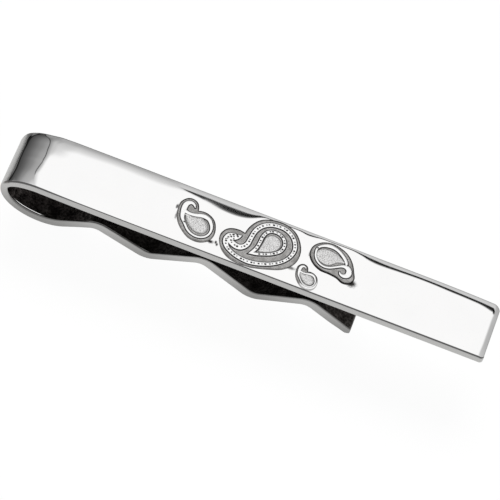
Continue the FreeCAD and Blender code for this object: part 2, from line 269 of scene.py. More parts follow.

# place, length and turn: the middle of the bulb on the face, millimetres and degrees;
# near: how dark the ground's edge is on the camera's side, where it has less painted shade than on the far side;
# worn: how far it is rubbed bright round the bulb;
# band and bulb: how wide the ribbon and the drop are against their tables; rim: how wide the drop's dark edge is;
# nicks: where a dark line crosses the ribbon
Ornament = namedtuple("Ornament", "place length turn near worn band bulb rim ground ribbon drop nicks")
ORNAMENTS = {
    "left_paisley": Ornament(
        (-6.43, -1.02), 2.83, 124.2, 0.35, 0.0, 1.25, 1.0, 0.3, NOTCHED_GROUND, CURL_RIBBON, CURL_DROP, [(26, 51)]),
    "large_paisley": Ornament(
        (2.19, 0.15), 4.23, 191.7, 0.35, 0.0, 1.05, 1.0, 0.12, LARGE_GROUND, LARGE_RIBBON, LARGE_DROP, []),
    "right_paisley": Ornament(
        (8.43, 1.45), 2.95, -27.8, 1.0, 0.0, 1.2, 1.0, 0.15, PLAIN_GROUND, PLAIN_RIBBON, CURL_DROP,
        [(-49, -2), (79, 33)]),
    "small_paisley": Ornament(
        (7.33, -2.63), 1.625, 122.2, 0.4, 1.0, 1.3, 1.12, 0.22, NOTCHED_GROUND, CURL_RIBBON, CURL_DROP, []),
}

# Painted shade on the face in the corners beside the ornaments: place on the face, reach along and across, and
# strength
PAINTED_SHADE_SPOTS = (
    ((-9.45, 0.62), (0.2, 0.5), 0.9), ((-9.15, -0.55), (0.24, 0.75), 0.7), ((-4.52, -2.36), (0.62, 0.36), 1),
    ((-3.86, -2.2), (0.2, 0.32), 0.95), ((-3.66, -2.44), (0.22, 0.32), 0.95), ((4.9, -1.8), (1.1, 0.35), 0.8),
    ((12.07, -0.82), (0.82, 0.72), 1), ((6.5, 1.05), (0.2, 0.5), 0.5),
)
SHADE_SPOT_DEPTH = 0.3

# Room: tones by height in degrees above the horizon, for the left, three parts of the back, the right and the front.
# They stay white up to TOP
WHITE = 1.08
TOP = 90
ROOM = {
    "left": (
        (0, 0.25), (8.5, 0.15), (10.6, 0.012), (13.2, 0.012), (14.8, 0.06), (16.5, 0.078), (20.5, 0.09), (23, 0.106),
        (27, 0.13), (30.6, 0.167), (33.8, 0.206), (36.7, 0.25), (39.2, 0.28), (41.4, 0.33), (43.5, 0.383), (46, 0.42),
        (54, 0.5), (66, WHITE)),
    "behind_bend": (
        (0, 0.5), (20, 0.4), (34, 0.34), (40, 0.4), (42, 0.46), (44, 0.55), (46, 0.6), (48, 0.66), (49.5, 0.8),
        (51, WHITE)),
    "behind_left": (
        (0, 0.5), (26, 0.36), (36, 0.28), (41, 0.34), (45.5, 0.44), (45.9, 0.5), (46.6, 0.6), (47.6, 0.69),
        (48.8, 0.79), (50, 0.92), (51.1, 1.02), (52, WHITE)),
    "behind_right": (
        (0, 0.5), (26, 0.36), (36, 0.28), (41, 0.2), (43, 0.22), (44.3, 0.46), (45, 0.56), (46, 0.67), (47.5, 0.73),
        (47.75, 0.012), (49.4, 0.012), (49.8, 0.33), (50.4, 0.88), (51, WHITE)),
    "right": ((0, 0.5), (12, 0.3), (35, 0.38), (47, 0.5), (52, 0.55), (58, 0.62), (70, WHITE)),
    "front": ((0, 0.5), (66, 0.5), (78, 0.36), (84, 0.5), (88, WHITE)),
}

# Camera at the photograph's viewing angle, with its place in its own axes
AZIMUTH = 2.5517
ELEVATION = 53.6090
ROLL = 18.9343
EYE = (-0.1856, -0.5121, 439.0713)
FOCAL_PIXELS = 3871.883
FRAME_PIXELS = 500
SENSOR_WIDTH = 36.0

# Stage, with the sun's width and turns in degrees
FLOOR_Z = -9.1
FLOOR_SIZE = 12000.0
FLOOR_COLOUR = (0.9, 0.9, 0.9)
FLOOR_GLOW = 0.95
SUN_STRENGTH = 2.8
SUN_WIDTH = 35
SUN_TURNS = (-30, -8, 0)


class Graph:
    """Adds and links the nodes of one material or of the world."""

    def __init__(self, owner):
        owner.use_nodes = True
        self.owner = owner
        self.tree = owner.node_tree
        self.tree.nodes.clear()

    def put(self, socket, value):
        if isinstance(value, bpy.types.NodeSocket):
            self.tree.links.new(value, socket)
        elif socket.type == "RGBA":
            socket.default_value = (*value, 1.0)
        else:
            socket.default_value = value

    def add(self, kind, inputs, **settings):
        """A new node with its inputs, given by number or name."""
        node = self.tree.nodes.new(kind)
        for name, value in settings.items():
            setattr(node, name, value)
        for key, value in inputs.items():
            self.put(node.inputs[key], value)
        return node

    def math(self, operation, *values):
        return self.add("ShaderNodeMath", dict(enumerate(values)), operation=operation).outputs[0]

    def product(self, first, *others):
        for other in others:
            first = self.math("MULTIPLY", first, other)
        return first

    def step(self, value, start, end, low=0.0, high=1.0):
        """A smooth step from low at start to high at end."""
        inputs = dict(enumerate((value, start, end, low, high)))
        return self.add("ShaderNodeMapRange", inputs, interpolation_type="SMOOTHSTEP").outputs[0]

    def blend(self, factor, first, second):
        """A number between two."""
        return self.add("ShaderNodeMix", {0: factor, 2: first, 3: second}, data_type="FLOAT").outputs[0]

    def tint(self, factor, first, second):
        """A colour between two."""
        return self.add("ShaderNodeMix", {0: factor, 6: first, 7: second}, data_type="RGBA").outputs[2]

    def curve(self, value, stops):
        """A number that follows stops of (value, result), straight between them."""
        last = stops[-1][0]
        node = self.add("ShaderNodeValToRGB", {0: self.math("DIVIDE", value, last)})
        elements = node.color_ramp.elements
        while len(elements) < len(stops):
            elements.new(1.0)
        for element, (place, result) in zip(elements, stops):
            element.position = place / last
            element.color = (result, result, result, 1.0)
        return node.outputs[0]

    def vector(self, operation, first, second):
        return self.add("ShaderNodeVectorMath", {0: first, 1: second}, operation=operation).outputs[0]

    def length(self, vector):
        return self.add("ShaderNodeVectorMath", {0: vector}, operation="LENGTH").outputs["Value"]

    def axes(self, vector):
        """The three numbers of a vector."""
        return self.add("ShaderNodeSeparateXYZ", {0: vector}).outputs

    def noise(self, vector, scale, detail=2.0, roughness=0.5):
        inputs = {"Vector": vector, "Scale": scale, "Detail": detail, "Roughness": roughness}
        return self.add("ShaderNodeTexNoise", inputs).outputs[0]

    def ragged(self, value, cloud, amount):
        """A number moved up and down by a noise."""
        return self.math("ADD", value, self.product(self.math("SUBTRACT", cloud, 0.5), amount))

    def place(self):
        """The point of the surface in the part's own frame."""
        return self.add("ShaderNodeTexCoord", {}).outputs["Object"]

    def attribute(self, name):
        return self.add("ShaderNodeAttribute", {}, attribute_name=name).outputs["Fac"]

    def bump(self, height, strength, distance):
        inputs = {"Strength": strength, "Distance": distance, "Height": height}
        return self.add("ShaderNodeBump", inputs).outputs[0]

    def metal(self, colour, roughness, **others):
        """Ends a material with a metal shader and gives it back."""
        inputs = {"Metallic": 1.0, "Base Color": colour, "Roughness": roughness, **others}
        return self.finish("ShaderNodeOutputMaterial", self.add("ShaderNodeBsdfPrincipled", inputs))

    def finish(self, kind, shader):
        """Adds the output and gives back what it belongs to."""
        self.add(kind, {"Surface": shader.outputs[0]})
        return self.owner


def painted_shade_beside_ornaments(graph, place, shade_edge_noise):
    """How dark the painted shade beside the ornaments is, with ragged outlines."""
    darkest = 0.0
    for (x, y), (along, across), strength in PAINTED_SHADE_SPOTS:
        away = graph.vector("SUBTRACT", place, (x * MM, y * MM, BAR_THICKNESS * MM))
        away = graph.length(graph.vector("DIVIDE", away, (along * MM, across * MM, SHADE_SPOT_DEPTH * MM)))
        shade_spot = graph.step(graph.ragged(away, shade_edge_noise, 0.8), 0.25, 1.0, strength, 0.0)
        darkest = graph.math("MAXIMUM", darkest, shade_spot)
    return darkest


def strip_material():
    """Mirror polish on the face; satin sides, and dull faces inside the loop, both darkened with painted shade."""
    graph = Graph(bpy.data.materials.new("polished_strip"))
    place = graph.place()
    x, _, z = graph.axes(place)
    satin = graph.attribute("satin")
    inside = graph.attribute("inside")
    cloud = graph.noise(place, 260.0, 3.0)
    grain = graph.noise(graph.vector("MULTIPLY", place, (0.12, 1.0, 1.0)), 9000.0)
    # Noise for the ragged outlines of the painted shade beside the ornaments
    shade_edge_noise = graph.noise(place, 4200.0, 3.0, 0.6)
    soot = graph.product(graph.noise(place, 620.0, 4.0, 0.6), graph.noise(place, 3600.0, 3.0, 0.6))
    dullness = graph.step(satin, 0.4, 1.0)
    silver = graph.tint(cloud, (0.862, 0.858, 0.856), (0.898, 0.895, 0.893))
    # The satin faces are grey with painted shade: lighter on the upper sides, darker downwards and, on the leg,
    # towards its tip
    upper = graph.tint(grain, (0.475, 0.473, 0.465), (0.52, 0.517, 0.507))
    lower = graph.tint(grain, (0.255, 0.253, 0.247), (0.3, 0.298, 0.292))
    leg_shade = graph.product(graph.step(x, -3.0 * MM, 5.0 * MM, 0.0, 0.25), graph.step(z, -0.1 * MM, -0.5 * MM))
    shade = graph.math("ADD", leg_shade, graph.step(z, -0.3 * MM, -4.9 * MM))
    side = graph.tint(shade, upper, lower)
    # Painted shade inside the loop and painted dark lines along the face's edges: near black, with lighter grainy
    # specks that grow lighter towards the bend
    worn = graph.tint(graph.step(x, -21.0 * MM, -13.0 * MM), (0.26, 0.235, 0.225), (0.12, 0.108, 0.104))
    speckle = graph.product(graph.step(soot, 0.14, 0.42), dullness)
    dark = graph.tint(speckle, (0.014, 0.012, 0.011), worn)
    outside = graph.tint(graph.step(satin, 0.0, 0.4), silver, side)
    # Painted shade beside the ornaments, near black
    with_painted_shade = graph.tint(painted_shade_beside_ornaments(graph, place, shade_edge_noise), outside, (0.03, 0.028, 0.027))
    finish = graph.blend(dullness, graph.blend(cloud, 0.025, 0.05), graph.blend(grain, 0.3, 0.4))
    relief = graph.product(grain, graph.step(satin, 0.9, 1.0, 0.003, 1.0))
    return graph.metal(graph.tint(inside, with_painted_shade, dark), graph.blend(inside, finish, 0.42),
                       Normal=graph.bump(relief, 0.25, 0.004 * MM))


def ribbon_material():
    """Polished, with dark patina where the attribute has it."""
    graph = Graph(bpy.data.materials.new("bright_ribbon"))
    patina = graph.attribute("patina")
    cloud = graph.noise(graph.place(), 1500.0, 3.0)
    bright = graph.tint(cloud, (0.9, 0.897, 0.892), (0.95, 0.948, 0.944))
    dark = graph.tint(cloud, (0.028, 0.026, 0.025), (0.07, 0.064, 0.06))
    return graph.metal(graph.tint(patina, bright, dark), graph.blend(patina, graph.blend(cloud, 0.08, 0.16), 0.55))


def ground_material():
    """Grey, matte and finely pitted, dark with patina and bright where it is worn."""
    graph = Graph(bpy.data.materials.new("darkened_ground"))
    place = graph.place()
    cloud = graph.noise(place, 1400.0, 4.0, 0.6)
    grit = graph.noise(place, 12000.0)
    grey = graph.tint(graph.step(cloud, 0.3, 0.7), (0.46, 0.45, 0.435), (0.84, 0.825, 0.81))
    grey = graph.tint(graph.step(grit, 0.3, 0.55, 0.35, 0.0), grey, (0.2, 0.195, 0.19))
    rubbed = graph.step(graph.ragged(graph.attribute("worn"), cloud, 0.9), 0.35, 0.65)
    grey = graph.tint(rubbed, grey, (0.93, 0.925, 0.92))
    dark = graph.tint(cloud, (0.025, 0.023, 0.022), (0.065, 0.06, 0.057))
    return graph.metal(graph.tint(graph.attribute("patina"), grey, dark),
                       graph.blend(rubbed, graph.blend(cloud, 0.42, 0.58), 0.08),
                       Normal=graph.bump(graph.blend(rubbed, grit, 0.5), 0.4, 0.02 * MM))


def drop_material():
    """Pale and finely grained, with dark specks between the grains."""
    graph = Graph(bpy.data.materials.new("grained_drop"))
    speck = graph.noise(graph.place(), 8500.0, 2.0, 0.6)
    pale = graph.tint(graph.step(speck, 0.34, 0.52), (0.42, 0.41, 0.4), (0.95, 0.945, 0.94))
    colour = graph.tint(graph.attribute("patina"), pale, (0.04, 0.038, 0.036))
    return graph.metal(colour, graph.blend(speck, 0.36, 0.18))


def new_object(name, data):
    thing = bpy.data.objects.new(name, data)
    bpy.context.scene.collection.objects.link(thing)
    return thing


def make_piece(name, points, faces, material, **values):
    """A smooth-shaded object from points in millimetres, with numbers per point that the material reads."""
    mesh = bpy.data.meshes.new(name)
    mesh.from_pydata((np.asarray(points, float) * MM).tolist(), [], faces)
    for attribute, numbers in values.items():
        layer = mesh.attributes.new(attribute, "FLOAT", "POINT")
        layer.data.foreach_set("value", np.asarray(numbers, np.float32))
    shape = bmesh.new()
    shape.from_mesh(mesh)
    bmesh.ops.remove_doubles(shape, verts=shape.verts, dist=MERGE_DISTANCE)
    bmesh.ops.dissolve_degenerate(shape, edges=shape.edges, dist=MERGE_DISTANCE)
    bmesh.ops.recalc_face_normals(shape, faces=shape.faces)
    for face in shape.faces:
        face.smooth = True
    for edge in shape.edges:
        edge.smooth = not edge.is_manifold or edge.calc_face_angle(0.0) < SHARP_ANGLE
    shape.to_mesh(mesh)
    shape.free()
    mesh.materials.append(material)
    return new_object(name, mesh)


def sheet_faces(rows, count, is_ring=False, is_tube=False):
    """Quads between rows of points. The last row joins the first in a ring, and each row is closed in a tube."""
    faces = []
    for row in range(rows if is_ring else rows - 1):
        here, there = row * count, (row + 1) % rows * count
        for step in range(count if is_tube else count - 1):
            after = (step + 1) % count
            faces.append((here + step, here + after, there + after, there + step))
    return faces


def tube_faces(rings, around, has_first_cap=True):
    """A tube of quads between rings of points, with a cap at its last ring and mostly at its first."""
    faces = sheet_faces(rings, around, is_tube=True)
    if has_first_cap:
        faces.append(tuple(range(around)))
    faces.append(tuple(range((rings - 1) * around, rings * around)))
    return faces


def smooth_step(value):
    value = np.clip(value, 0.0, 1.0)
    return value * value * (3 - 2 * value)


def fade(value, start, end):
    """From 0 at start smoothly to 1 at end."""
    return smooth_step((value - start) / (end - start))


def table_at(value, table):
    """A number from a table of (value, result), straight between its entries."""
    return np.interp(value, *zip(*table))


def hermite(t, first, leaving, last, arriving):
    """A smooth way from first to last, with the slopes that it leaves and arrives at."""
    return (first * (2 * t ** 3 - 3 * t ** 2 + 1) + leaving * (t ** 3 - 2 * t ** 2 + t)
            + last * (3 * t ** 2 - 2 * t ** 3) + arriving * (t ** 3 - t ** 2))


def smooth_table(value, places, results):
    """A smooth curve through a table, without corners at its entries."""
    places, results = np.array(places), np.array(results)
    slopes = np.gradient(results, places)
    value = np.clip(value, places[0], places[-1])
    index = np.clip(np.searchsorted(places, value, side="right") - 1, 0, len(places) - 2)
    span = places[index + 1] - places[index]
    return hermite((value - places[index]) / span, results[index], slopes[index] * span,
                   results[index + 1], slopes[index + 1] * span)


def ahead_of(heading):
    return np.array((math.cos(heading), math.sin(heading)))


def left_of(heading):
    return np.array((-math.sin(heading), math.cos(heading)))


def rounded_reach(past, radius):
    """How far the strip reaches to one side, at a place past the start of a rounded corner."""
    return HALF_WIDTH - radius + math.sqrt(max(0.0, radius ** 2 - max(0.0, past) ** 2))


def bar_stations():
    """The bar from its free end to the bend: outer and inner points, reach to the near and to the far side."""
    places = []
    for turn in np.radians(END_TURNS):
        x = CLIP_LENGTH - END_EDGE_RADIUS * (1 - math.sin(turn))
        places.append((x, END_EDGE_RADIUS * (1 - math.cos(turn))))
    near_end = np.arange(CLIP_LENGTH - END_EDGE_RADIUS, CLIP_LENGTH - END_RUN, -END_STEP)
    rest = np.linspace(near_end[-1], BEND_REACH, BAR_STATIONS)[1:]
    places += [(x, 0.0) for x in (*near_end, *rest)]
    stations = []
    for x, inset in places:
        near, far = (rounded_reach(x - (CLIP_LENGTH - r), r) for r in (NEAR_CORNER_RADIUS, FAR_CORNER_RADIUS))
        taper = FAR_TAPER * max(0.0, (x - CLIP_LENGTH + FAR_TAPER_RUN) / FAR_TAPER_RUN) ** 2
        stations.append(((x, BAR_THICKNESS - inset), (x, inset), near, far - taper))
    return stations


def bend_stations(angles, reach, outer_height, inner_height):
    """Half of the bend, at angles from the top round to the bottom, with its far corner cut round."""
    stations = []
    for angle in angles:
        left, up = math.sin(angle), math.cos(angle)
        outer = (reach - reach * left, -NOSE_DROP + outer_height * up)
        inner = (reach - (reach - NOSE_THICKNESS) * left, -NOSE_DROP + inner_height * up)
        past = FAR_BEND_RADIUS - reach * (1 - left) - FAR_BEND_OVERSHOOT
        stations.append((outer, inner, HALF_WIDTH, rounded_reach(past, FAR_BEND_RADIUS)))
    return stations


def upper_bend_stations():
    """The bend from the bar down to the nose, with a last short step so that the two halves shade alike."""
    nose = math.pi / 2
    angles = np.append(np.linspace(0, nose, UPPER_BEND_STATIONS)[1:-1], [nose - NOSE_STEP, nose])
    return bend_stations(angles, BEND_REACH, NOSE_DROP + BAR_THICKNESS, NOSE_DROP)


def lower_bend_stations():
    """The bend from the nose to the loop's lowest point."""
    nose = math.pi / 2
    angles = np.append([nose, nose + NOSE_STEP], np.linspace(nose, math.pi, LOWER_BEND_STATIONS)[1:])
    return bend_stations(angles, LOOP_REACH, LOOP_DEPTH + LEG_THICKNESS - NOSE_DROP, LOOP_DEPTH - NOSE_DROP)


def leg_upper_corners():
    """Corners of the leg's upper line, from the loop's lowest point to the tip."""
    x = LOOP_REACH + LIFT_RUN
    corners = [(LOOP_REACH, -LOOP_DEPTH), (x, -LOOP_DEPTH)]
    x += FIRST_RISE_RUN
    for drop in (CREST_DROPS[0], TROUGH_DROP, CREST_DROPS[1], TROUGH_DROP, CREST_DROPS[2]):
        corners.append((x, -drop))
        x += WAVE_RUN
    corners.append((x - WAVE_RUN + TIP_RUN, -TIP_DROP))
    return np.array(corners)


def leg_upper_line():
    """Points of the leg's upper line and the heading at each, in radians."""
    corners = leg_upper_corners()
    runs = np.diff(corners, axis=0)
    headings = np.arctan2(runs[:, 1], runs[:, 0])
    points, turns = [], []
    for index in range(1, len(corners) - 1):
        before, after = headings[index - 1], headings[index]
        is_trough = after > before
        half_turn = abs(after - before) / 2
        if index == 1:
            radius = LIFT_RUN / math.tan(half_turn)
        else:
            radius = WAVE_RADIUS if is_trough else WAVE_RADIUS + LEG_THICKNESS
        start = corners[index] - radius * math.tan(half_turn) * ahead_of(before)
        side = 1 if is_trough else -1
        centre = start + side * radius * left_of(before)
        if points:
            last = points[-1]
            count = max(2, round(np.linalg.norm(start - last) / LEG_STEP))
            for share in np.arange(1, count) / count:
                points.append(last + (start - last) * share)
                turns.append(before)
        for heading in np.linspace(before, after, WAVE_STATIONS):
            points.append(centre - side * radius * left_of(heading))
            turns.append(heading)
    last, tip = points[-1], corners[-1]
    for share in np.linspace(0, 1, TIP_STATIONS)[1:]:
        points.append(last + (tip - last) * share)
        turns.append(headings[-1])
    return points, turns


def leg_stations():
    """The leg from the loop's lowest point to its rounded tip."""
    stations = []
    points, turns = leg_upper_line()
    for point, heading in zip(points[1:], turns[1:]):
        lag = LEG_LAG * fade(point[0], *LAG_FADES[0]) * fade(point[0], *LAG_FADES[1])
        lower = point - left_of(heading) * LEG_THICKNESS - np.array((lag, 0.0))
        stations.append((lower, point, HALF_WIDTH, HALF_WIDTH))
    ahead, up = ahead_of(turns[-1]), left_of(turns[-1])
    middle = points[-1] - up * (LEG_THICKNESS / 2)
    for angle in np.radians(TIP_TURNS):
        reach = middle + ahead * (LEG_THICKNESS / 2 * math.sin(angle))
        half = up * (LEG_THICKNESS / 2 * math.cos(angle))
        stations.append((reach - half, reach + half, HALF_WIDTH, HALF_WIDTH))
    return stations


def far_edge_radius(x):
    """Rounding of the far edge of the face, which is larger on the bend."""
    return FAR_EDGE_RADIUS + (BEND_EDGE_RADIUS - FAR_EDGE_RADIUS) * fade(x, *BEND_EDGE_FADE)


def end_roll(x):
    """How far the face lies lower at the free end."""
    start = END_ROLL_X[0]
    tilts = np.interp(np.linspace(start, max(start, x), END_ROLL_STEPS), END_ROLL_X, (0.0, END_ROLL_TILT))
    return np.mean(np.tan(np.radians(tilts))) * max(0.0, x - start)


def roll_off(x, across):
    """How far the polished face lies below its plain form, at places across the strip."""
    fine = np.linspace(-HALF_WIDTH, HALF_WIDTH, ROLL_STEPS + 1)
    start, first, second = (float(smooth_table(x, EDGE_ROLL[:, 0], EDGE_ROLL[:, k])) for k in (1, 2, 3))
    flat = np.interp(fine, (start, first, second, second + BAND_STEP, HALF_WIDTH), (0.0, *ROLL_TILTS, *BAND_TILTS))
    tilts = flat + fade(x, *BEND_ROLL_FADE) * (table_at(fine, BEND_ROLL) - flat)
    tilts += fade(x, *BEND_EDGE_ROLL_FADE) * table_at(fine, BEND_EDGE_ROLL)
    tilts -= NEAR_ROLL_TILT * fade(-fine, NEAR_ROLL_START, HALF_WIDTH)
    slopes = np.tan(np.radians(tilts)) * fade(x, *NOSE_ROLL_FADE)
    depth = np.concatenate(([0.0], np.cumsum((slopes[1:] + slopes[:-1]) / 2 * np.diff(fine))))
    depth -= np.interp(0.0, fine, depth)
    level = np.interp(table_at(x, ROLL_MIDDLE), fine, depth) * fade(x, *LEVEL_FADE)
    depth -= level * fade(fine, *LEVEL_ACROSS)
    twist = smooth_table(across, *zip(*BEND_TWIST))
    for span in BEND_TWIST_FADES:
        twist = twist * fade(x, *span)
    return np.interp(across, fine, depth) + end_roll(x) - twist


def nose_satin_and_shade(x, across):
    """How satin, in a grey with painted shade, the outer face is round the nose, where the polish ends at an even
    distance from the strip's edge.
    """
    inside = np.clip(np.asarray(across) - (HALF_WIDTH - FAR_BEND_RADIUS), 0.0, FAR_BEND_RADIUS)
    edge = FAR_BEND_RADIUS - np.sqrt(FAR_BEND_RADIUS ** 2 - inside ** 2)
    return NOSE_SATIN_AND_SHADE * smooth_step((NOSE_SATIN_END + NOSE_SATIN_BULGE * edge - x) / NOSE_SATIN_SOFTNESS)


# What changes from station to station: how far the face lies below its plain form, the rounding of its far edge and
# the strength of the painted dark line along it, the strength of the bead, how satin the face is, in a grey with
# painted shade, and how much painted shade the inner face has. The drop and the face's satin are functions of the
# place across the strip
Form = namedtuple("Form", "drop edge_radius far_line bead outer_satin dark")


def cross_section(station, form, lines, inner_lines):
    """Points round the strip at one station, each with how satin and painted grey it is and how dark it is painted,
    for the shade inside and for the dark lines along the face's edges.

    They run over the outer face from far to near, down the near side, back over the inner face and up the far side.
    lines and inner_lines are shares of the reach to each side. The bead is a small step beside the inner face's near
    edge, with a polished front.
    """
    outer, inner, near, far = station
    through = np.subtract(inner, outer)
    thickness = np.linalg.norm(through)
    limit = EDGE_LIMIT * thickness
    near_radius = min(table_at(outer[0], NEAR_EDGE_RADII), limit)
    far_radius = min(FAR_EDGE_RADIUS, limit)
    face_radius = min(form.edge_radius, limit)
    near_flat, far_flat, face_flat = near - near_radius, far - far_radius, far - face_radius
    shares = np.linspace(0, 1, EDGE_STEPS + 1)[1:]

    def rows(y, depth, satin, inside):
        return np.stack(np.broadcast_arrays(y, depth, satin, inside), 1)

    def face_edge(side, reach, radius, depth, slope, line):
        """A face's edge, which starts at the face's own slope and ends square to the side."""
        first = math.atan(slope)
        turns = first + (math.pi / 2 - first) * shares
        radius = radius / (1 - math.sin(first))
        y = side * (reach - radius * (1 - np.sin(turns)))
        satin = np.maximum(form.outer_satin(y), fade(turns, *SATIN_TURNS))
        return rows(y, depth + radius * (math.cos(first) - np.cos(turns)), satin,
                    line * (1 - fade(turns, *LINE_TURNS)))

    def inner_edge(side, flat, radius):
        turns = math.pi / 2 * shares
        return rows(side * (flat + radius * np.sin(turns)), thickness - radius * (1 - np.cos(turns)), 1.0,
                    form.dark * (1 - fade(turns, *INNER_TURNS)))

    def plain_side(y, start, end):
        return rows(y, np.interp(SIDE_ROWS, (0, 1), (start, end)), 1.0, 0.0)

    across = np.where(lines > 0, lines * face_flat, lines * near_flat)
    depths = form.drop(across)
    far_slope = (depths[0] - depths[1]) / (across[0] - across[1])
    near_slope = (depths[-1] - depths[-2]) / (across[-2] - across[-1])
    far_line = form.far_line * smooth_step((across - face_flat) / FAR_LINE_WIDTH + 1)
    near_line = NEAR_LINE * fade(outer[0], *NEAR_LINE_FADE)
    inner_across = inner_lines * np.where(inner_lines > 0, far_flat, near_flat)
    rise = BEAD_HEIGHT * min(1.0, BEAD_RISE * form.bead) * (inner_lines >= BEAD_TOP)
    matte = 1.0 - form.bead * ((inner_lines >= BEAD_FOOT) & (inner_lines <= BEAD_TOP))
    y, depth, satin, inside = np.concatenate((
        rows(across, depths, form.outer_satin(across), far_line),
        face_edge(-1, near, near_radius, depths[-1], near_slope, near_line),
        plain_side(-near, depths[-1] + near_radius, thickness - near_radius),
        inner_edge(-1, near_flat, near_radius)[::-1],
        rows(inner_across, thickness + rise, matte, form.dark * matte),
        inner_edge(1, far_flat, far_radius),
        plain_side(far, thickness - far_radius, depths[0] + FAR_SIDE_START * face_radius),
        face_edge(1, far, face_radius, depths[0], far_slope, form.far_line)[::-1],
    )).T
    x, z = (start + step / thickness * depth for start, step in zip(outer, through))
    return np.stack((x, y, z, satin, inside), 1)


def strip_mesh(name, stations, forms, lines, inner_lines, material):
    """One length of the strip."""
    rings = np.array([cross_section(station, form, lines, inner_lines) for station, form in zip(stations, forms)])
    rows = np.concatenate(rings)
    points = rows[:, :3] - (CLIP_LENGTH / 2, 0, 0)
    faces = tube_faces(len(rings), rings.shape[1])
    return make_piece(name, points, faces, material, satin=rows[:, 3], inside=rows[:, 4])


def bar_and_bend(material):
    """The bar with the upper half of the bend."""
    stations = bar_stations() + upper_bend_stations()
    forms = [
        Form(partial(roll_off, x), far_edge_radius(x), table_at(x, FAR_LINE), 0.0, partial(nose_satin_and_shade, x),
             fade(inner_x, *INSIDE_FADE))
        for (x, _), (inner_x, _), *_ in stations
    ]
    return strip_mesh("bar_and_bend", stations, forms, BAR_LINES, BAR_INNER_LINES, material)


def loop_and_leg(material):
    """The lower half of the bend with the wavy spring leg."""
    stations = lower_bend_stations() + leg_stations()
    forms = [
        Form(np.zeros_like, far_edge_radius(x), 0.0, table_at(x, BEAD), np.ones_like, 1.0)
        for (x, _), *_ in stations
    ]
    return strip_mesh("loop_and_leg", stations, forms, LEG_LINES, LEG_INNER_LINES, material)


def placed(outline, ornament):
    """Points of an outline on the face."""
    turn = math.radians(ornament.turn)
    along, across = ahead_of(turn), left_of(turn)
    return np.array([ornament.place + ornament.length * (s / 100 * along + t / 100 * across) for s, t, *_ in outline])


def share_along(points, ornament):
    """How far along the ornament points on the face lie, as a share of its length."""
    return (points - ornament.place) @ ahead_of(math.radians(ornament.turn)) / ornament.length


def unit(vectors):
    return vectors / np.linalg.norm(vectors, axis=-1, keepdims=True)


def directions(points, is_ring):
    """The heading of a smooth path at each of its points, along the circle through its neighbours."""
    if is_ring:
        points = np.concatenate((points[-1:], points, points[:1]))
    steps = np.diff(points, axis=0)
    lengths = np.linalg.norm(steps, axis=1)[:, None]
    chords = steps / lengths
    inner = unit(chords[:-1] * lengths[1:] + chords[1:] * lengths[:-1])
    if is_ring:
        return inner
    first, last = (chords[i] * (2 * inner[i].dot(chords[i])) - inner[i] for i in (0, -1))
    return [first, *inner, last]


def points_along(line, travelled, wanted):
    """Points of a line, from how far along it they are wanted and how far along its own points are."""
    return np.stack([np.interp(wanted, travelled, line[:, k]) for k in (0, 1)], 1)


def smooth_path(points, step, is_ring=False):
    """Evenly spaced points along a smooth path, how far along each is, and how far along the given points are."""
    headings = directions(points, is_ring)
    count = len(points)
    fineness = 40
    shares = np.linspace(0, 1, fineness, endpoint=False)[:, None]
    dense = []
    for i in range(count if is_ring else count - 1):
        j = (i + 1) % count
        length = np.linalg.norm(points[j] - points[i])
        dense.append(hermite(shares, points[i], headings[i] * length, points[j], headings[j] * length))
    dense = np.concatenate((*dense, (points[0] if is_ring else points[-1])[None]))
    travelled = np.concatenate(([0.0], np.cumsum(np.linalg.norm(np.diff(dense, axis=0), axis=1))))
    wanted = np.linspace(0, travelled[-1], max(FEWEST_STEPS, round(travelled[-1] / step)) + 1)
    return points_along(dense, travelled, wanted), wanted, travelled[::fineness]


def sideways(line):
    """The unit vector to the left of an open line, at each of its points."""
    ahead = unit(np.gradient(line, axis=0))
    return np.stack((-ahead[:, 1], ahead[:, 0]), 1)


def outward(ring):
    """The unit vector out of a closed outline, at each of its points."""
    ahead = unit(np.roll(ring, -1, 0) - np.roll(ring, 1, 0))
    right = np.stack((ahead[:, 1], -ahead[:, 0]), 1)
    x, y = ring.T
    turns_left = np.sum(x * np.roll(y, -1) - np.roll(x, -1) * y) > 0
    return right if turns_left else -right


def ground_piece(name, ornament, is_ring, material):
    """A matte plate with a soft edge, darkened by patina and away from the camera by painted shade, let into the face
    a little.
    """
    outline = smooth_path(placed(ornament.ground, ornament), GROUND_STEP, is_ring)[0][:-1]
    out = outward(outline)
    worn = ornament.worn * fade(share_along(outline, ornament), *GROUND_WEAR)
    # The edge is darker, and its bevel wider, away from the camera: painted shade over the patina
    edge_patina_and_shade = ornament.near + (1 - ornament.near) * smooth_step(0.6 + out[:, 1])
    edge_patina_and_shade = edge_patina_and_shade * (1 - worn)
    top = BAR_THICKNESS + GROUND_HEIGHT
    rim = GROUND_RIM + GROUND_RIM_GROWTH * smooth_step(0.5 + 0.5 * out[:, 1])
    layers = (
        (0.0, BAR_THICKNESS - 0.2, 1.0), (0.0, BAR_THICKNESS + 0.04, 1.0), (0.004, top - 0.05, 1.0),
        (0.016, top - 0.02, 1.0), (0.04, top - 0.004, 1.0), (rim, top, 1.0), (rim + 0.06, top, 0.4),
        (rim + 0.13, top, 0.0),
    )
    points, patina = [], []
    for distance, height, dark in layers:
        points += [(*place, height) for place in outline - out * np.reshape(distance, (-1, 1))]
        patina += list(dark * edge_patina_and_shade)
    faces = tube_faces(len(layers), len(outline))
    return make_piece(name, points, faces, material, patina=patina, worn=np.tile(worn, len(layers)))


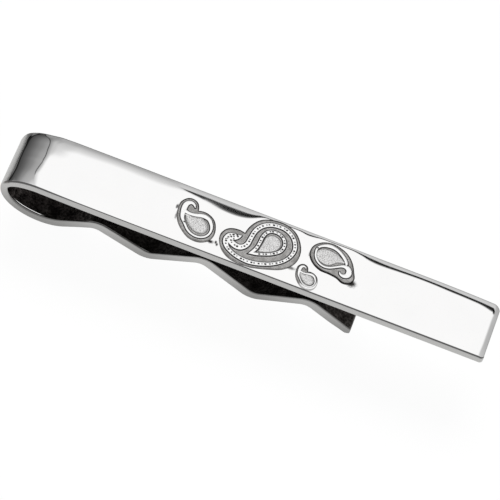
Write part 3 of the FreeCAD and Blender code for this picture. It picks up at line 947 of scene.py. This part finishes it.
def band_profile(half, crown_points, skirt):
    """Across a ribbon with its dark skirt: reach to the left of its middle, height above the ground and patina."""
    shrink = min(1.0, half / FULL_EDGE_HALF)
    edge = [(skirt, 0.002, 0.1), (0.65 * skirt, 0.006, 0.9), (0.015, 0.012, 1.0), (0.0, 0.03, 1.0),
            (-0.01 * shrink, 0.07, 0.85), (-0.024 * shrink, 0.09, 0.25), (-0.045 * shrink, 0.096, 0.0)]
    left = [(half + out, height, dark) for out, height, dark in edge]
    inner = left[-1][0]
    crown = [(inner * share, RIBBON_HEIGHT - 0.004 * share ** 2, 0.0)
             for share in np.linspace(1, -1, crown_points + 2)[1:-1]]
    right = [(-reach, height, dark) for reach, height, dark in reversed(left)]
    return left + crown + right


def darkened(points, patina, centres, radius, depth):
    """Sinks dark round spots into a ribbon."""
    for index, centre in enumerate(centres):
        size = radius * PIT_SIZES[index % len(PIT_SIZES)]
        away = np.linalg.norm(points[:, :2] - centre, axis=1)
        share = 1 - smooth_step((away - PIT_CORE * size) / (PIT_SOFTNESS * size))
        points[:, 2] -= depth * share * (patina < 0.5)
        patina = np.maximum(patina, share)
    return points, patina


def pit_places(line, travelled):
    """Nearly evenly spaced places along a line, without its ends."""
    places = np.linspace(0, travelled[-1], round(travelled[-1] / PIT_PITCH))[1:-1]
    places = places + PIT_DRIFT * PIT_PITCH * np.sin(PIT_DRIFT_TURN * np.arange(len(places)))
    return points_along(line, travelled, places)


def ribbon_piece(name, ornament, has_pits, material):
    """A raised ribbon of changing width along an open path, with round ends."""
    step, crown_points = PITTED_BAND if has_pits else PLAIN_BAND
    line, travelled, knots = smooth_path(placed(ornament.ribbon, ornament), step)
    left = sideways(line)
    widths = [width / 100 * ornament.length * ornament.band for *_, width in ornament.ribbon]
    widths = smooth_table(travelled, knots, widths)
    skirt = SKIRT * min(1.0, ornament.length / SKIRT_LENGTH) / ornament.band
    base = BAR_THICKNESS + GROUND_HEIGHT
    points, patina = [], []

    def add_row(middle, side, half, turn=0.0):
        """One row across the ribbon, with its left half turned about its middle for the round ends."""
        cos, sin = math.cos(turn), math.sin(turn)
        turned = np.array((side[0] * cos - side[1] * sin, side[0] * sin + side[1] * cos))
        worn = ornament.worn * fade(share_along(middle, ornament), *RIBBON_WEAR)
        for reach, height, dark in band_profile(half, crown_points, skirt):
            points.append((*(middle + (turned if reach > 0 else side) * reach), base + height))
            patina.append(dark * (1 - worn) if reach < 0 else dark)

    for turn in np.linspace(math.pi, 0, ROUND_END_ROWS)[:-1]:
        add_row(line[0], left[0], widths[0] / 2, turn)
    for middle, side, width in zip(line, left, widths):
        add_row(middle, side, width / 2)
    for turn in np.linspace(0, -math.pi, ROUND_END_ROWS)[1:]:
        add_row(line[-1], left[-1], widths[-1] / 2, turn)
    count = len(band_profile(1.0, crown_points, skirt))
    points, patina = np.array(points), np.array(patina)
    if has_pits:
        pits = np.concatenate((pit_places(line, travelled), placed(LARGE_HOOK_PITS, ornament)))
        points, patina = darkened(points, patina, pits, PIT_RADIUS, PIT_DEPTH)
    points, patina = darkened(points, patina, placed(ornament.nicks, ornament), NICK_RADIUS, NICK_DEPTH)
    return make_piece(name, points, sheet_faces(len(points) // count, count), material, patina=patina)


def ring_piece(name, ornament, material):
    """The large ornament's raised drop-shaped ring, pointed on the outside and the inside, with a row of pits."""
    width = LARGE_RING_WIDTH / 100 * ornament.length
    line, travelled, _ = smooth_path(placed(LARGE_RING, ornament), PITTED_BAND[0])
    reach = sideways(line) * (width / 2)
    towards = np.linspace(0, 1, RING_TIP_ROWS)[1:, None]

    def with_tip(side, tip):
        """One side of the ring, closed through its tip."""
        to_tip, from_tip = side[-1] + (tip - side[-1]) * towards, tip + (side[0] - tip) * towards
        return np.concatenate((side, to_tip, from_tip[:-1]))

    outer_tip, inner_tip = placed(LARGE_RING_TIPS, ornament)
    outer, inner = with_tip(line - reach, outer_tip), with_tip(line + reach, inner_tip)
    profile = band_profile(width / 2, RING_CROWN_POINTS, SKIRT)
    base = BAR_THICKNESS + GROUND_HEIGHT
    points = []
    for start, end in zip(outer, inner):
        middle, across = (start + end) / 2, (start - end) / width
        points += [(*(middle + across * place), base + height) for place, height, _ in profile]
    patina = np.array([dark for _, _, dark in profile] * len(outer))
    points, patina = darkened(np.array(points), patina, pit_places(line, travelled), PIT_RADIUS, PIT_DEPTH)
    faces = sheet_faces(len(outer), len(profile), is_ring=True)
    return make_piece(name, points, faces, material, patina=patina)


def drop_piece(name, ornament, material):
    """A low drop with a dark foot and a grained top."""
    outline = smooth_path(placed(ornament.drop, ornament), DROP_STEP)[0][:-1]
    out = outward(outline)
    middle = outline.mean(0)
    outline = middle + (outline - middle) * ornament.bulb
    reach = np.linalg.norm(outline - middle, axis=1).mean()
    base = BAR_THICKNESS + GROUND_HEIGHT
    points, patina = [], []
    edge = ((0.04, 0.002, 0.3), (0.01, 0.01, 0.8), (0.0, 0.02, 0.8), (-0.02, 0.045, 0.55),
            (-ornament.rim, DROP_HEIGHT, 0.03))
    for distance, height, dark in edge:
        points += [(*place, base + height) for place in outline + out * distance]
        patina += [dark] * len(outline)
    rim = outline - out * ornament.rim
    rings = max(FEWEST_STEPS, round(reach / DROP_STEP))
    for share in np.linspace(1, 0, rings + 1)[1:]:
        for place in rim:
            spot = middle + (place - middle) * max(share, DROP_MIDDLE)
            grain = noise.noise(Vector((*(spot * GRAIN_SCALE), 0.0)))
            points.append((*spot, base + DROP_HEIGHT + DROP_CROWN * (1 - share ** 2) + GRAIN_HEIGHT * grain))
            patina.append(0.0)
    faces = tube_faces(len(edge) + rings, len(outline), has_first_cap=False)
    return make_piece(name, points, faces, material, patina=patina)


def dress(piece, slot, *nodes):
    """The piece rides on the bar and stands for its nodes."""
    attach(piece, "bar")
    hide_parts(*nodes)


def add_ornaments():
    ground, ribbon, drop = ground_material(), ribbon_material(), drop_material()
    for name, ornament in ORNAMENTS.items():
        is_large = name == "large_paisley"
        piece = ground_piece(name + "_plate", ornament, name == "right_paisley", ground)
        dress(piece, "darkened_ground", name + "_ground")
        piece = ribbon_piece(name + "_band", ornament, is_large, ribbon)
        dress(piece, "bright_ribbon", name + ("_outer_ribbon" if is_large else "_ribbon"))
        if is_large:
            piece = ring_piece(name + "_inner_band", ornament, ribbon)
            dress(piece, "bright_ribbon", name + "_inner_ribbon")
        piece = drop_piece(name + "_bulb", ornament, drop)
        dress(piece, "grained_drop", name + "_drop")


def add_strip():
    material = strip_material()
    front = bar_and_bend(material)
    dress(front, "polished_strip", "front_bar", "return_bend")
    back = loop_and_leg(material)
    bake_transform(back)
    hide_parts("spring_leg")


def studio_world():
    """A soft white light above and behind, with a dark lower rim in places, and grey walls."""
    graph = Graph(bpy.data.worlds.new("studio"))
    x, y, z = graph.axes(graph.add("ShaderNodeTexCoord", {}).outputs["Generated"])
    degrees = 180 / math.pi
    height = graph.product(graph.math("ARCSINE", z), degrees)
    bearing = graph.product(graph.math("ARCTAN2", x, y), degrees)
    walls = {name: graph.curve(height, (*stops, (TOP, WHITE))) for name, stops in ROOM.items()}

    def darken(tone, left, right, *heights):
        """A dark patch between two soft bearings, of the strength and the height that the last factors give."""
        patch = graph.product(graph.step(bearing, *left), graph.step(bearing, *right, 1.0, 0.0), *heights)
        return graph.product(tone, graph.math("SUBTRACT", 1.0, patch))

    tone = graph.blend(graph.step(bearing, -4.4, -4.1), walls["behind_left"], walls["behind_right"])
    tone = graph.blend(graph.step(bearing, -15.0, -9.0), walls["behind_bend"], tone)
    tone = graph.product(tone, graph.step(bearing, -24.0, -16.0, 0.65, 1.0))
    tone = graph.blend(graph.step(bearing, -24.5, -23.5), walls["left"], tone)
    tone = darken(tone, (-25.2, -24.4), (-23.8, -23.0), graph.step(height, 50.0, 52.5, 0.8, 0.0))
    tone = graph.blend(graph.step(bearing, 9.0, 20.0), tone, walls["right"])
    tone = darken(tone, (6.0, 8.0), (12.0, 15.5), graph.step(height, 47.5, 47.9),
                  graph.step(height, 50.0, 52.5, 0.9, 0.0))
    aside = graph.math("SUBTRACT", graph.math("ABSOLUTE", bearing), graph.step(height, 15.0, 22.0, 12.0, 0.0))
    tone = graph.blend(graph.step(aside, 55.5, 66.0), tone, walls["front"])
    background = graph.add("ShaderNodeBackground", {"Color": tone})
    bpy.context.scene.world = graph.finish("ShaderNodeOutputWorld", background)


def floor_material():
    """White where it is seen or mirrored, with part of its own shading left so that it keeps the shadow."""
    graph = Graph(bpy.data.materials.new("pale_floor"))
    rays = graph.add("ShaderNodeLightPath", {}).outputs
    seen = graph.math("MAXIMUM", rays["Is Camera Ray"], rays["Is Glossy Ray"])
    seen = graph.math("MAXIMUM", seen, rays["Is Transmission Ray"])
    plain = graph.add("ShaderNodeBsdfDiffuse", {"Color": FLOOR_COLOUR})
    white = graph.add("ShaderNodeEmission", {})
    mix = {0: graph.product(seen, FLOOR_GLOW), 1: plain.outputs[0], 2: white.outputs[0]}
    return graph.finish("ShaderNodeOutputMaterial", graph.add("ShaderNodeMixShader", mix))


def add_stage():
    """The floor, low enough for the leg to open, and a soft sun that gives it the clip's shadow."""
    half = FLOOR_SIZE / 2 * MM
    mesh = bpy.data.meshes.new("floor")
    corners = [(x * half, y * half, FLOOR_Z * MM) for x, y in ((-1, -1), (1, -1), (1, 1), (-1, 1))]
    mesh.from_pydata(corners, [], [(0, 1, 2, 3)])
    mesh.materials.append(floor_material())
    floor = new_object("floor", mesh)
    lamp = bpy.data.lights.new("key", "SUN")
    lamp.energy = SUN_STRENGTH
    lamp.angle = math.radians(SUN_WIDTH)
    key = new_object("key", lamp)
    key.rotation_euler = [math.radians(turn) for turn in SUN_TURNS]
    key.visible_glossy = False


def add_camera():
    data = bpy.data.cameras.new("camera")
    data.sensor_width = SENSOR_WIDTH
    data.lens = FOCAL_PIXELS / FRAME_PIXELS * SENSOR_WIDTH
    camera = new_object("camera", data)
    turns = ((AZIMUTH, "Z"), (90 - ELEVATION, "X"), (ROLL, "Z"))
    around, over, roll = (Matrix.Rotation(math.radians(angle), 4, axis) for angle, axis in turns)
    camera.matrix_world = around @ over @ roll @ Matrix.Translation(Vector(EYE) * MM)
    bpy.context.scene.camera = camera


bpy.context.scene.view_settings.view_transform = "Standard"
add_camera()
add_strip()
add_ornaments()
studio_world()
add_stage()
